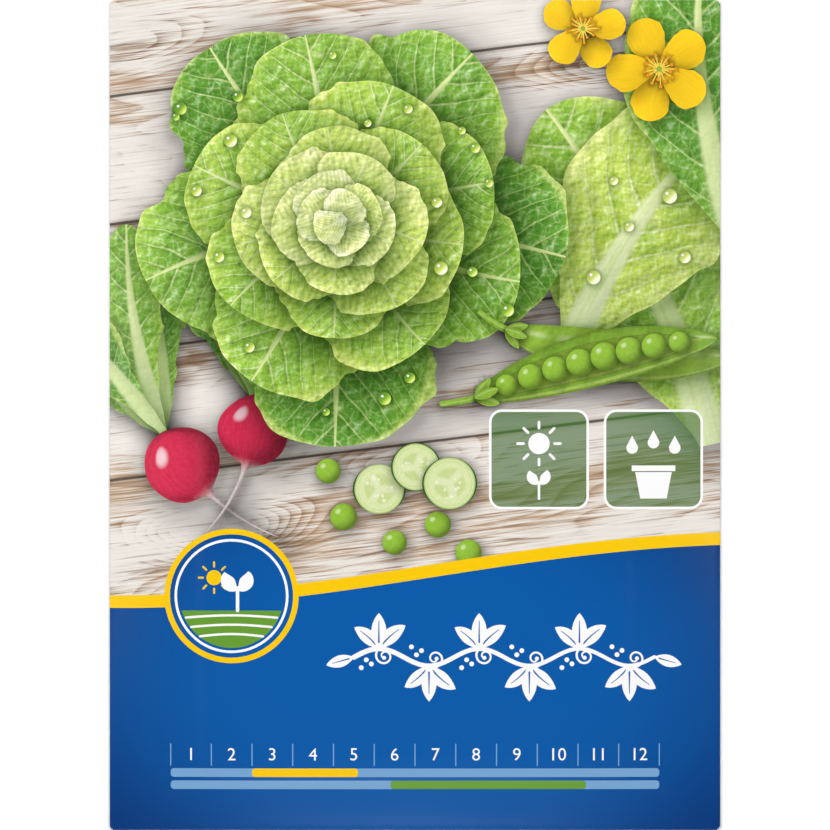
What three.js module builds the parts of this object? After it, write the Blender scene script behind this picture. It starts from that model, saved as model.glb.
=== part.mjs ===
// A seed packet lying on its back, printed face up.
// One sheet of coated paper is folded into a flat bag: the front panel carries the back
// panel on its right edge, a glue flap on its left edge, and a closing flap at the bottom
// and the top. Inside lies a sachet of two foil films sealed along their rims, which
// holds a single layer of round brassica seeds.
// Millimetres, +Z up, +Y towards the packet's top edge, origin under the middle.
import * as THREE from "three";

// The packet
const WIDTH = 120;
const HEIGHT = WIDTH * (830 / 610); // the front panel's own proportions
const THICKNESS = 4.2; // over the seeds
const SHEET = 0.2; // the paper's thickness as modelled
const LAYER = 0.4; // from one folded layer to the next, glue included
const CLOSING_FLAP = 16; // how far the bottom and top flaps reach over the back
const FLAP_TAPER = 0.05; // share of its half width that a closing flap narrows by
const GLUE_FLAP = 12; // the side flap under the back panel's free edge
const BACK_EDGE_INSET = 1; // from the left fold to the back panel's free edge
const CORNER_SETBACK = 1.5; // every arm of the sheet starts this far from a corner

// The contents
const SACHET = { width: 84, height: 116, centreY: -14, seal: 6 };
const FILM = 0.2; // a foil film's thickness as modelled
const CLEAR = 0.3; // between separate pieces
const SEED_COUNT = 45;
const SEED_RADIUS = 0.98;
const SEED_FIELD = { x: 26, y: 30, centreY: -22 }; // half axes of the oval they lie in
const SEED_GAP = 0.1;
const SEED_DRAW = 20417; // starts the seeded random draws

// Middle heights of the folded layers at the packet's edges, from the surface up
const FLAP_Z = SHEET / 2;
const BACK_Z = FLAP_Z + LAYER;
const GLUE_Z = BACK_Z + LAYER;
const FRONT_Z = GLUE_Z + LAYER;
const FRONT_TOP_Z = THICKNESS - SHEET / 2;

// Folds are half turns, so each radius is half the step between the layers it joins.
const LEFT_FOLD = (FRONT_Z - GLUE_Z) / 2;
const RIGHT_FOLD = (FRONT_Z - BACK_Z) / 2;
const END_FOLD = (FRONT_Z - FLAP_Z) / 2;
const SIDE_FOLD_STEPS = 4;
const END_FOLD_STEPS = 4;

// The front panel lies between the folds' tangent lines.
const FRONT = {
  left: -WIDTH / 2 + LEFT_FOLD,
  right: WIDTH / 2 - RIGHT_FOLD,
  bottom: -HEIGHT / 2 + END_FOLD,
  top: HEIGHT / 2 - END_FOLD,
};

// The pillow of the front panel: highest over the seeds, below the middle
const CROWN_Y = -10;
const CROWN_POWER = 2.2; // how broad the crown is
// The back panel lies on the surface inside these margins, and rises over the flaps.
const SIDE_RISE = 14;
const END_RISE_FROM = CLOSING_FLAP + 1;
const END_RISE_TO = CLOSING_FLAP + 16;

const smooth = (low, high, value) => THREE.MathUtils.smoothstep(value, low, high);

// Evenly spaced numbers from low to high, both included.
function steps(low, high, count) {
  return Array.from({ length: count + 1 }, (_, i) => low + ((high - low) * i) / count);
}

function frontHeight(x, y) {
  const reach = y < CROWN_Y ? CROWN_Y - FRONT.bottom : FRONT.top - CROWN_Y;
  const across = x < 0 ? x / FRONT.left : x / FRONT.right;
  const along = (y - CROWN_Y) / reach;
  const open = Math.max(0, (1 - across ** 2) * (1 - along ** 2));
  return FRONT_Z + (FRONT_TOP_Z - FRONT_Z) * (1 - (1 - open) ** CROWN_POWER);
}

function backHeight(x, y) {
  const side = smooth(0, SIDE_RISE, WIDTH / 2 - Math.abs(x) - RIGHT_FOLD);
  const end = smooth(END_RISE_FROM, END_RISE_TO, HEIGHT / 2 - Math.abs(y));
  return BACK_Z - LAYER * side * end;
}

// A point on a half-turn fold: how far past the tangent line, and how far down.
function foldPoint(radius, turn) {
  return { out: radius * Math.sin(turn), down: radius * (1 - Math.cos(turn)) };
}

// Closes a grid of points into a sheet of the given thickness. Where grid[j][i] is null
// the sheet has no paper, and the rim follows the outline of what is there.
function closedSheet(grid, thickness) {
  const rows = grid.length;
  const columns = grid[0].length;
  const normals = grid.map((row) => row.map((p) => p && new THREE.Vector3()));
  const cells = [];
  for (let j = 0; j + 1 < rows; j++) {
    for (let i = 0; i + 1 < columns; i++) {
      const corners = [grid[j][i], grid[j][i + 1], grid[j + 1][i + 1], grid[j + 1][i]];
      if (corners.some((p) => !p)) continue;
      cells.push([i, j]);
      const normal = new THREE.Vector3().crossVectors(
        corners[2].clone().sub(corners[0]),
        corners[3].clone().sub(corners[1]),
      );
      normal.normalize();
      normals[j][i].add(normal);
      normals[j][i + 1].add(normal);
      normals[j + 1][i + 1].add(normal);
      normals[j + 1][i].add(normal);
    }
  }

  const positions = [];
  const index = [];
  const ids = new Map();
  const vertex = (i, j, side) => {
    const key = `${i},${j},${side}`;
    if (!ids.has(key)) {
      const offset = normals[j][i].clone().setLength((side * thickness) / 2);
      const point = grid[j][i].clone().add(offset);
      ids.set(key, positions.length / 3);
      positions.push(point.x, point.y, point.z);
    }
    return ids.get(key);
  };
  const has = new Set(cells.map(([i, j]) => `${i},${j}`));
  const wall = (a, b) => {
    const [a1, a0] = [vertex(...a, 1), vertex(...a, -1)];
    const [b1, b0] = [vertex(...b, 1), vertex(...b, -1)];
    index.push(a1, a0, b0, a1, b0, b1);
  };
  for (const [i, j] of cells) {
    const loop = [[i, j], [i + 1, j], [i + 1, j + 1], [i, j + 1]];
    const [a, b, c, d] = loop.map((p) => vertex(...p, 1));
    const [e, f, g, h] = loop.map((p) => vertex(...p, -1));
    index.push(a, b, c, a, c, d, e, g, f, e, h, g);
    if (!has.has(`${i},${j - 1}`)) wall(loop[0], loop[1]);
    if (!has.has(`${i + 1},${j}`)) wall(loop[1], loop[2]);
    if (!has.has(`${i},${j + 1}`)) wall(loop[2], loop[3]);
    if (!has.has(`${i - 1},${j}`)) wall(loop[3], loop[0]);
  }
  const geometry = new THREE.BufferGeometry();
  geometry.setAttribute("position", new THREE.Float32BufferAttribute(positions, 3));
  geometry.setIndex(index);
  geometry.computeVertexNormals();
  return geometry;
}

// The bag's blank is a cross of paper. Each column or row of its grid says in which part
// of the blank it lies, and the folded position follows from the two parts.
function blankColumns() {
  const front = [
    FRONT.left,
    FRONT.left + CORNER_SETBACK,
    ...steps(-54, 54, 18),
    FRONT.right - CORNER_SETBACK,
    FRONT.right,
  ];
  const turns = steps(0, Math.PI, SIDE_FOLD_STEPS).slice(1);
  const glueEnd = -WIDTH / 2 + GLUE_FLAP;
  const backEnd = -WIDTH / 2 + BACK_EDGE_INSET;
  return [
    ...steps(FRONT.left, glueEnd, 3).slice(1).map((x) => ({ part: "glue", x })).reverse(),
    ...turns.map((turn) => ({ part: "left fold", turn })).reverse(),
    ...front.map((x) => ({ part: "front", x })),
    ...turns.map((turn) => ({ part: "right fold", turn })),
    ...steps(FRONT.right, backEnd, 22).slice(1).map((x) => ({ part: "back", x })),
  ];
}

function blankRows() {
  const front = [
    FRONT.bottom,
    FRONT.bottom + CORNER_SETBACK,
    ...steps(-75, 75, 26),
    FRONT.top - CORNER_SETBACK,
    FRONT.top,
  ];
  const turns = steps(0, Math.PI, END_FOLD_STEPS).slice(1);
  const reach = steps(0, CLOSING_FLAP - END_FOLD, 3).slice(1);
  return [
    ...reach.map((r) => ({ part: "flap", end: -1, reach: r })).reverse(),
    ...turns.map((turn) => ({ part: "fold", end: -1, turn })).reverse(),
    ...front.map((y) => ({ part: "front", y })),
    ...turns.map((turn) => ({ part: "fold", end: 1, turn })),
    ...reach.map((r) => ({ part: "flap", end: 1, reach: r })),
  ];
}

// A point of the side arms: the glue flap, the side folds and the back panel.
function sideArmPoint(column, y) {
  const { part, x, turn } = column;
  if (part === "glue") return new THREE.Vector3(x, y, backHeight(x, y) + LAYER);
  if (part === "back") return new THREE.Vector3(x, y, backHeight(x, y));
  const left = part === "left fold";
  const { out, down } = foldPoint(left ? LEFT_FOLD : RIGHT_FOLD, turn);
  return new THREE.Vector3(left ? FRONT.left - out : FRONT.right + out, y, FRONT_Z - down);
}

// A point of the closing flaps, which fold under the back at the bottom and the top.
function closingArmPoint(row, x) {
  const edge = row.end < 0 ? FRONT.bottom : FRONT.top;
  if (row.part === "fold") {
    const { out, down } = foldPoint(END_FOLD, row.turn);
    return new THREE.Vector3(x, edge + row.end * out, FRONT_Z - down);
  }
  const narrow = 1 - (FLAP_TAPER * row.reach) / CLOSING_FLAP;
  return new THREE.Vector3(x * narrow, edge - row.end * row.reach, FLAP_Z);
}

function paperBag() {
  const columns = blankColumns();
  const rows = blankRows();
  const inFrontX = (x) =>
    x > FRONT.left + CORNER_SETBACK / 2 && x < FRONT.right - CORNER_SETBACK / 2;
  const inFrontY = (y) =>
    y > FRONT.bottom + CORNER_SETBACK / 2 && y < FRONT.top - CORNER_SETBACK / 2;
  const grid = rows.map((row) =>
    columns.map((column) => {
      if (row.part === "front" && column.part === "front") {
        return new THREE.Vector3(column.x, row.y, frontHeight(column.x, row.y));
      }
      if (row.part === "front") return inFrontY(row.y) ? sideArmPoint(column, row.y) : null;
      if (column.part === "front") {
        return inFrontX(column.x) ? closingArmPoint(row, column.x) : null;
      }
      return null;
    }),
  );
  return closedSheet(grid, SHEET);
}

// The sachet's lower film follows the back panel. The upper film meets it along the
// sealed rim and rises to just under the front panel over the seeds.
function lowerFilmHeight(x, y) {
  return backHeight(x, y) + SHEET / 2 + CLEAR + FILM / 2;
}

function upperFilmHeight(x, y) {
  const low = lowerFilmHeight(x, y) + FILM + CLEAR;
  const high = frontHeight(x, y) - SHEET / 2 - CLEAR - FILM / 2;
  const inX = SACHET.width / 2 - Math.abs(x) - SACHET.seal;
  const inY = SACHET.height / 2 - Math.abs(y - SACHET.centreY) - SACHET.seal;
  const free = smooth(0, 2 * SACHET.seal, inX) * smooth(0, 2 * SACHET.seal, inY);
  return THREE.MathUtils.lerp(low, Math.max(low, high), free);
}

function film(height) {
  const halfX = SACHET.width / 2;
  const halfY = SACHET.height / 2;
  const xs = steps(-halfX, halfX, 14);
  const ys = steps(SACHET.centreY - halfY, SACHET.centreY + halfY, 19);
  const grid = ys.map((y) => xs.map((x) => new THREE.Vector3(x, y, height(x, y))));
  return closedSheet(grid, FILM);
}

// A small seeded generator, so that the seeds lie the same way every time.
function randomDraws(start) {
  let state = start;
  return () => {
    state = (Math.imul(state, 1664525) + 1013904223) >>> 0;
    return state / 2 ** 32;
  };
}

// Where each seed lies: drawn inside the oval, clear of the seeds already there.
function seedPlaces(draw) {
  const places = [];
  while (places.length < SEED_COUNT) {
    const [u, v] = [2 * draw() - 1, 2 * draw() - 1];
    if (u * u + v * v > 1) continue;
    const x = u * SEED_FIELD.x;
    const y = SEED_FIELD.centreY + v * SEED_FIELD.y;
    const clear = 2 * SEED_RADIUS + 2 * SEED_GAP;
    if (places.some((p) => Math.hypot(p.x - x, p.y - y) < clear)) continue;
    places.push({ x, y });
  }
  return places;
}

function seed(name, place, draw, material) {
  const radius = SEED_RADIUS * (0.86 + 0.14 * draw());
  const mesh = new THREE.Mesh(new THREE.IcosahedronGeometry(radius, 1), material);
  const floor = lowerFilmHeight(place.x, place.y) + FILM / 2;
  mesh.name = name;
  mesh.position.set(place.x, place.y, floor + SEED_GAP + radius);
  mesh.rotation.set(draw() * Math.PI, draw() * Math.PI, draw() * Math.PI);
  return mesh;
}

function named(name, geometry, material) {
  const mesh = new THREE.Mesh(geometry, material);
  mesh.name = name;
  return mesh;
}

const paper = new THREE.MeshStandardMaterial({
  color: 0x005baa,
  roughness: 0.35,
  metalness: 0,
  side: THREE.DoubleSide,
});
const foil = new THREE.MeshStandardMaterial({ color: 0xc9ccd0, roughness: 0.3, metalness: 0.8 });
const seedCoat = new THREE.MeshStandardMaterial({ color: 0x3a241c, roughness: 0.6, metalness: 0 });

const packet = new THREE.Group();
packet.add(
  named("paper_bag", paperBag(), paper),
  named("sachet_lower_film", film(lowerFilmHeight), foil),
  named("sachet_upper_film", film(upperFilmHeight), foil),
);
const draw = randomDraws(SEED_DRAW);
seedPlaces(draw).forEach((place, i) => {
  packet.add(seed(`seed_${String(i + 1).padStart(2, "0")}`, place, draw, seedCoat));
});

export default packet;
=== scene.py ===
import math
import random
from functools import partial, partialmethod
from types import SimpleNamespace

import bmesh
import bpy
import numpy as np
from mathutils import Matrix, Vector
from mathutils.geometry import delaunay_2d_cdt


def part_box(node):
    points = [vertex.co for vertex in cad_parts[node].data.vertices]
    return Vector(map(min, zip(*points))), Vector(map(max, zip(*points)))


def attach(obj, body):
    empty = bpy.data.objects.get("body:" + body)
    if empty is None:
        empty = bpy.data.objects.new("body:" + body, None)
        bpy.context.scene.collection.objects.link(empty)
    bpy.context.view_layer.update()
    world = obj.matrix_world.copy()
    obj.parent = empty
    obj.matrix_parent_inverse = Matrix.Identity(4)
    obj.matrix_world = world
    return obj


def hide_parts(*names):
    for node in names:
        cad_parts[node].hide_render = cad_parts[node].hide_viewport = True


# A seed packet lying on its back, printed face up. One sheet of coated paper is folded
# into a flat bag round a foil sachet with small round seeds. Lengths are in millimetres
# until the finished meshes are scaled to metres. Only the lamps are given in metres.

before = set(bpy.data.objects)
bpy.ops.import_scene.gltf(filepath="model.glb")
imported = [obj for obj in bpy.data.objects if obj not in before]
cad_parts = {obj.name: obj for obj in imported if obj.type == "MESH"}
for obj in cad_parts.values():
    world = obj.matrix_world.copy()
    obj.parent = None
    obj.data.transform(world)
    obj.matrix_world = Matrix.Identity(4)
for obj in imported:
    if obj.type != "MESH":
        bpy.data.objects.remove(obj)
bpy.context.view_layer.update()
MM = 0.001

# The packet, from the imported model. Its sheet is modelled thicker than real paper.
bag_low, bag_high = (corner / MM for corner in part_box("paper_bag"))
CAD_SHEET = 0.2
WIDTH = bag_high.x - bag_low.x - CAD_SHEET
HEIGHT = bag_high.y - bag_low.y - CAD_SHEET
TOP_Z = bag_high.z - 0.05

# The folded sheet: thin paper, one layer on the next at the edges
SHEET = 0.12
LAYER = 0.16
FLAP_Z = SHEET / 2
BACK_Z = FLAP_Z + LAYER
GLUE_Z = BACK_Z + LAYER
FRONT_Z = 0.62
LEFT_FOLD = (FRONT_Z - GLUE_Z) / 2
RIGHT_FOLD = (FRONT_Z - BACK_Z) / 2
END_FOLD = (FRONT_Z - FLAP_Z) / 2
LEFT = -WIDTH / 2 + LEFT_FOLD
RIGHT = WIDTH / 2 - RIGHT_FOLD
TOP = HEIGHT / 2 - END_FOLD
BOTTOM = -TOP
CLOSING_FLAP = 16
GLUE_FLAP = 12
BACK_EDGE = -WIDTH / 2 + 1
CORNER_CUT = 0.35
BACK_START = RIGHT + math.pi * RIGHT_FOLD
BACK_END = BACK_START + RIGHT - BACK_EDGE
BACK_MIDDLE = (BACK_START + BACK_END) / 2
GLUE_START = LEFT - math.pi * LEFT_FOLD
GLUE_END = GLUE_START - GLUE_FLAP + LEFT_FOLD
FLAP_START = TOP + math.pi * END_FOLD
FLAP_END = FLAP_START + CLOSING_FLAP - END_FOLD
FOLD_MIDDLE = 0.5  # from a fold's first line to where it is rubbed
BLEED = 0.8  # how far the front's print runs past a fold
PAST_SIDE = 62  # past the front's folded sides
PAST_END = 99j  # past the sheet's upper end

# The sachet and the pillow that it gives the front panel
sachet_low, sachet_high = (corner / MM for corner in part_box("sachet_upper_film"))
SACHET_SEAL = 6
CROWN_Y = -10
CROWN_POWER = 2.2

# Colours of three numbers are screen values from 0 to 255, and those of four are albedos.
WHITE_ALBEDO = 0.80  # the lights bring this to white in the render
WHITE = (255, 255, 255)
NEAR_WHITE = (249, 247, 241)
BLUE = (0, 91, 170)
DEEP_BLUE = (0, 56, 122)
PALE_BLUE = (120, 168, 212)
DARK_BLUE = (30, 84, 140)
YELLOW = (254, 205, 4)
GREEN = (104, 158, 52)
GLAZE_GREEN = (62, 116, 44)
GLAZE_SHARE = 0.76
GREY = (150, 160, 170)
PALE_GREY = (176, 188, 198)
BROWN = (132, 96, 62)
DARK_BROWN = (92, 60, 44)


def linear(colour):
    """The albedo that shows this colour."""
    if len(colour) == 4:
        return colour
    share = np.array(colour) / 255
    flat = np.where(share > 0.04045, ((share + 0.055) / 1.055) ** 2.4, share / 12.92)
    return (*flat * WHITE_ALBEDO, 1)


# Shaders. A Field is one output of a node, and arithmetic on it adds Math nodes.


def node(tree, kind, inputs=(), **settings):
    made = tree.nodes.new("ShaderNode" + kind)
    for key, value in settings.items():
        setattr(made, key, value)
    for key, value in dict(inputs).items():
        socket = made.inputs[key]
        if isinstance(value, Field):
            tree.links.new(value.socket, socket)
        else:
            socket.default_value = linear(value) if socket.type == "RGBA" else value
    return made


def derive(kind, inputs, output=0, **settings):
    """An output of a new node in the tree of the fields that it reads."""
    tree = next(value.socket.id_data for value in inputs.values() if isinstance(value, Field))
    return Field(node(tree, kind, inputs, **settings).outputs[output])


class Field:
    def __init__(self, socket):
        self.socket = socket

    def math(self, operation, *others):
        return derive("Math", dict(enumerate((self, *others))), operation=operation)

    def __rsub__(self, other):
        return derive("Math", {0: other, 1: self}, operation="SUBTRACT")

    __add__ = __radd__ = partialmethod(math, "ADD")
    __sub__ = partialmethod(math, "SUBTRACT")
    __mul__ = __rmul__ = partialmethod(math, "MULTIPLY")
    __truediv__ = partialmethod(math, "DIVIDE")
    __pow__ = partialmethod(math, "POWER")
    __abs__ = partialmethod(math, "ABSOLUTE")


def vector_math(operation, a, b):
    second = 3 if operation == "SCALE" else 1
    return derive("VectorMath", {0: a, second: b}, operation=operation)


scaled = partial(vector_math, "SCALE")


def split(vector):
    return [Field(part) for part in node(vector.socket.id_data, "SeparateXYZ", {0: vector}).outputs]


def join(x, y, z=0.0):
    return derive("CombineXYZ", {0: x, 1: y, 2: z})


def hypot(x, y):
    return (x * x + y * y).math("SQRT")


def smooth(value, low, high):
    """From 0 at low to 1 at high. Either may be the greater."""
    inputs = {"Value": value, "From Min": low, "From Max": high}
    return derive("MapRange", inputs, interpolation_type="SMOOTHSTEP")


def noise(place, scale, detail=3.0, rough=0.5):
    inputs = {"Vector": place, "Scale": scale, "Detail": detail, "Roughness": rough}
    return derive("TexNoise", inputs)


def cells(place, scale=1.0, feature="F1"):
    return derive("TexVoronoi", {"Vector": place, "Scale": scale}, "Distance", feature=feature)


cell_borders = partial(cells, feature="DISTANCE_TO_EDGE")


def mix(share, a, b):
    return derive("Mix", {0: share, 6: a, 7: b}, 2, data_type="RGBA")


def coats(colour, *layers):
    """The colour with others laid over it in turn, each by its own share."""
    for share, layer in layers:
        colour = mix(share, colour, layer)
    return colour


def ramp(value, *stops):
    made = node(value.socket.id_data, "ValToRGB", {0: value})
    elements = made.color_ramp.elements
    for _ in stops[2:]:
        elements.new(0.5)
    for element, (position, colour) in zip(elements, stops):
        element.position = position
        element.color = linear(colour)
    return Field(made.outputs[0])


# What a mesh carries is one number at each point or corner, apart from these.
CARRIED = {"sheet": "Vector", "local": "Vector", "paint": "Color"}
LAYERS = {
    "Fac": ("FLOAT", "value"),
    "Vector": ("FLOAT_VECTOR", "vector"),
    "Color": ("FLOAT_COLOR", "color"),
}


class Look:
    """A new material. It gives place, and whatever its mesh carries, as fields by name."""

    def __init__(self, name):
        self.material = bpy.data.materials.new(name)
        self.material.use_nodes = True
        self.material.node_tree.nodes.clear()

    def __getattr__(self, name):
        tree = self.material.node_tree
        if name == "place":
            socket = node(tree, "TexCoord").outputs["Object"]
        else:
            made = node(tree, "Attribute", attribute_name=name)
            socket = made.outputs[CARRIED.get(name, "Fac")]
        setattr(self, name, Field(socket))
        return getattr(self, name)


def surface(at, colour, roughness, height=None, distance=0.01, **constants):
    """The material's shader. A bump's height times its distance is in millimetres."""
    inputs = {"Base Color": colour, "Roughness": roughness}
    inputs |= {name.replace("_", " "): value for name, value in constants.items()}
    if height is not None:
        bump = {"Height": height, "Strength": 0.5, "Distance": distance * MM}
        inputs["Normal"] = derive("Bump", bump)
    node(at.material.node_tree, "OutputMaterial", {0: derive("BsdfPrincipled", inputs)})
    return at.material


# Inks

# Each gives its colour from what the sheet carries: the place on it in millimetres, the
# place along and across the motif with the motif's seed, the share of the way to its
# edge, its hue, a plain paint, and the light. All have the tint of the icon boxes' glaze.


def printed(ink):
    """Coated paper with this ink, worn thin along the middle of each fold."""
    at = Look(ink.__name__)
    glazed = mix(at.tint * GLAZE_SHARE, ink(at), GLAZE_GREEN)
    inked = scaled(glazed, 0.985 + 0.03 * noise(at.sheet, 5.0, 2, 0.6))
    u, v, _ = split(at.sheet)
    side = abs(abs(u) - (RIGHT + FOLD_MIDDLE))
    end = abs(abs(v) - (TOP + FOLD_MIDDLE))
    near_fold = smooth(side.math("MINIMUM", end), 0.42, 0.05)
    patches = smooth(noise(at.sheet, 0.9, 5, 0.7), 0.52, 0.68)
    colour = mix(near_fold * patches * 0.55, inked, WHITE)
    fibre = noise(at.sheet, 1.6, 4, 0.7)
    gloss = {"Specular_IOR_Level": 0.16, "Coat_Weight": 0.08, "Coat_Roughness": 0.12}
    return surface(at, colour, 0.27 + 0.08 * fibre, fibre, 0.02, **gloss)


def bare_paper():
    at = Look("bare_paper")
    fibre = noise(at.sheet, 1.1, 6, 0.75)
    colour = mix(noise(at.sheet, 0.12, 4, 0.6), (238, 236, 228), (250, 249, 244))
    return surface(at, colour, 0.75 + 0.15 * fibre, fibre, 0.04, Specular_IOR_Level=0.3)


def lit(at, colour):
    return scaled(colour, at.light)


def crinkle(at, scale, gain):
    """Light on small bulges: how much the ground falls towards the upper left."""
    aside = vector_math("ADD", at.sheet, (-0.45, 0.45, 0.0))
    return (noise(aside, scale, 3, 0.55) - noise(at.sheet, scale, 3, 0.55)) * -gain


def leaf_tones(tone):
    """Leaf green from deep (0) to nearly white (1)."""
    return ramp(
        tone,
        (0.0, (58, 116, 34)), (0.2, (96, 156, 48)), (0.42, (146, 192, 62)),
        (0.62, (192, 216, 88)), (0.82, (222, 232, 144)), (1.0, (244, 244, 210)),
    )


def leaf_ink(at):
    along, across, seed = split(at.local)
    edge, side = abs(at.edge), abs(across)

    # Side veins leave the midrib at about 45 degrees and turn towards the tip.
    warp = noise(join(along * 4, across * 4, seed), 1.0, 2) - 0.5
    other_side = across.math("GREATER_THAN", 0.0)
    turn = side * 0.85 + side * side * 1.1
    place = ((along - turn + warp * 0.10) * 8.5 + other_side * 0.45 + seed).math("FRACT")
    fine = 1 - edge * 0.75
    vein = smooth(abs(place - 0.5), fine * 0.085, fine * 0.02)
    groove = smooth(abs(place - 0.62), 0.10, 0.02) * (1 - edge)
    bulge = (place * math.tau + 0.6).math("SINE")

    # Net veins between them
    net_place = join(along + warp * 0.15, across * 1.15, seed)
    net = smooth(cell_borders(net_place, 17.0), 0.075, 0.01)
    small = smooth(cell_borders(net_place, 44.0), 0.10, 0.0)
    mottle = noise(at.sheet, 0.16, 4, 0.55) - 0.5
    pale_base = smooth(along, 0.45, 0.0) * (1 - edge) * 0.30
    tone = at.hue + mottle * 0.34 + edge * edge * edge * 0.16 + pale_base
    pale = mix(at.hue, (190, 216, 126), (246, 244, 214))

    # The midrib is broad, ridged and nearly white at the base, and thins to the tip.
    over = across / (0.050 * (1 - along) ** 1.3 + 0.004)
    rib = smooth(abs(over), 1.3, 0.75)
    ridges = noise(join(along * 1.6, over * 1.5, seed), 1.0, 3) - 0.5
    rib_light = 0.88 + 0.20 * smooth(over, -1.1, 0.5) - 0.12 * smooth(over, 0.5, 1.2)
    cream = coats(
        mix(at.hue, (210, 228, 160), (255, 254, 236)),
        (along, (222, 232, 160)),
        (smooth(ridges, 0.02, 0.2) * 0.4, (196, 216, 136)),
    )

    # Light and shade on the blistered surface and the waved margin
    flat = 1 - rib
    margin = noise(join(along * 9, other_side * 3, seed), 1.0, 2) - 0.5
    blisters = crinkle(at, 0.42, 1.5)
    shade = 1 + (0.10 * bulge - 0.16 * groove) * flat + margin * edge * edge * 0.85
    shade = shade + (blisters + crinkle(at, 1.3, 0.7)) * (flat * 0.8 + 0.2)
    waxy = smooth(blisters + bulge * 0.05, 0.0, 0.45) * flat
    colour = coats(
        leaf_tones(tone),
        (small * 0.10, pale),
        (net * 0.30, pale),
        (vein * 0.72, pale),
        (rib * 0.92, scaled(cream, rib_light)),
        (waxy * 0.34, (232, 244, 214)),
        (smooth(edge, 0.92, 1.0) * 0.42, (234, 240, 150)),
    )

    # Shade on a leaf stays green, because light comes through the leaf.
    light = at.light * shade
    return vector_math("MULTIPLY", colour, join(light**1.08, light**0.88, light**1.3))


def dew_ink(at):
    """A drop on a leaf: dark towards the light, bright on the far side, one glint."""
    x, y, _ = split(at.local)
    slope = y * 0.7 - x * 0.7
    tone = at.hue + 0.12 + smooth(slope, 0.2, -0.9) * 0.45
    colour = coats(
        scaled(leaf_tones(tone), 0.98 - 0.38 * slope),
        (smooth(hypot(x, y), 0.78, 1.0) * 0.35, (96, 140, 60)),
        (smooth(hypot(x + 0.34, y - 0.36), 0.26, 0.14) * 0.95, WHITE),
    )
    return lit(at, colour)


BOARD = 25.0
BOARD_TURN = math.radians(-7)


def board_ink(at):
    """Old boards with worn whitewash, brushed along the grain."""
    u, v, _ = split(at.sheet)
    cos, sin = math.cos(BOARD_TURN), math.sin(BOARD_TURN)
    x = u * cos - v * sin
    y = u * sin + v * cos
    row = y / BOARD + 0.22
    board = row.math("FLOOR")

    def grain(along, across, shift, detail, rough=0.5):
        return noise(join(x * along, y * across, board * shift), 1.0, detail, rough)

    bend = noise(join(x * 0.05, board * 9.1), 1.0, 3) - 0.5
    rim = abs(row.math("FRACT") - 0.5) + bend * 0.012

    # Growth rings run along the board and swing round a few knots.
    knot = smooth(cells(join(x * 0.017, y * 0.045, board * 3.1)), 0.42, 0.0)
    ring = (y * 0.16 + grain(0.012, 0.05, 7.3, 2) * 17 + knot * 6).math("FRACT")
    ring = ring * ring * smooth(ring, 1.0, 0.90)
    streak = grain(0.035, 1.5, 11.7, 5, 0.62)
    fine = grain(0.11, 4.2, 5.9, 3, 0.6)
    depth = streak * 0.60 + fine * 0.42 - ring * 0.13 - knot * 0.16 + 0.02
    wood = ramp(
        depth,
        (0.28, (132, 104, 82)), (0.42, (182, 152, 124)),
        (0.54, (212, 190, 166)), (0.70, (230, 216, 198)),
    )
    cover = grain(0.022, 0.09, 2.3, 3, 0.55)
    wash = smooth(cover * 1.05 + fine * 0.50 + streak * 0.50 - ring * 0.10, 0.81, 1.02)
    crack = smooth(grain(0.03, 1.1, 4.7, 4), 0.37, 0.34)
    colour = coats(
        wood,
        (wash * 0.93, mix(fine, (222, 212, 202), (255, 253, 249))),
        (crack * 0.38, (124, 98, 78)),
        (smooth(rim, 0.455, 0.49) * 0.35, (150, 126, 104)),
        (smooth(rim, 0.486, 0.494) * 0.88, (66, 54, 44)),
    )
    return lit(at, colour)


def ball_light(x, y, shine):
    """Light on a ball from the upper left: body shade and a small soft highlight."""
    depth = (1 - x * x - y * y).math("MAXIMUM", 0.02).math("SQRT")
    facing = y * 0.42 - x * 0.42 + depth * 0.80
    return 0.40 + 0.66 * smooth(facing, -0.15, 0.95), smooth(facing, 0.955, 0.995) * shine


def pea_ink(at):
    x, y, _ = split(at.local)
    body, gleam = ball_light(x, y, 0.55)
    skin = mix(noise(at.sheet, 1.1), (122, 172, 44), (166, 206, 74))
    return lit(at, mix(gleam, scaled(skin, body), (240, 248, 200)))


def pod_ink(at, swelling=1.0):
    """A pod's green skin, which swells over the seeds inside."""
    along, _, seed = split(at.local)
    edge = at.edge
    depth = (1 - edge * edge).math("MAXIMUM", 0.0).math("SQRT")
    lumps = ((along * 7.5 + 0.1) * math.tau).math("SINE") * swelling
    body = 0.62 + 0.40 * depth + 0.10 * lumps * depth
    gleam = smooth(abs(edge - 0.34), 0.30, 0.02) * (0.22 + 0.20 * lumps)
    mottle = noise(join(along * 3, edge * 0.6, seed), 2.0, 4) - 0.5
    skin = mix(at.hue + mottle * 0.5, (74, 134, 36), (158, 196, 66))
    skin = mix(smooth(abs(edge + 0.84), 0.10, 0.03) * 0.6, skin, (196, 218, 116))
    skin = scaled(skin, body + crinkle(at, 0.9, 0.5))
    return lit(at, mix(gleam.math("MAXIMUM", 0.0), skin, (236, 244, 196)))


def stalk_ink(at):
    return pod_ink(at, swelling=0.0)


BEET_MIDDLE = 0.235  # where the round root is widest, in lengths of root and tail


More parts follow.
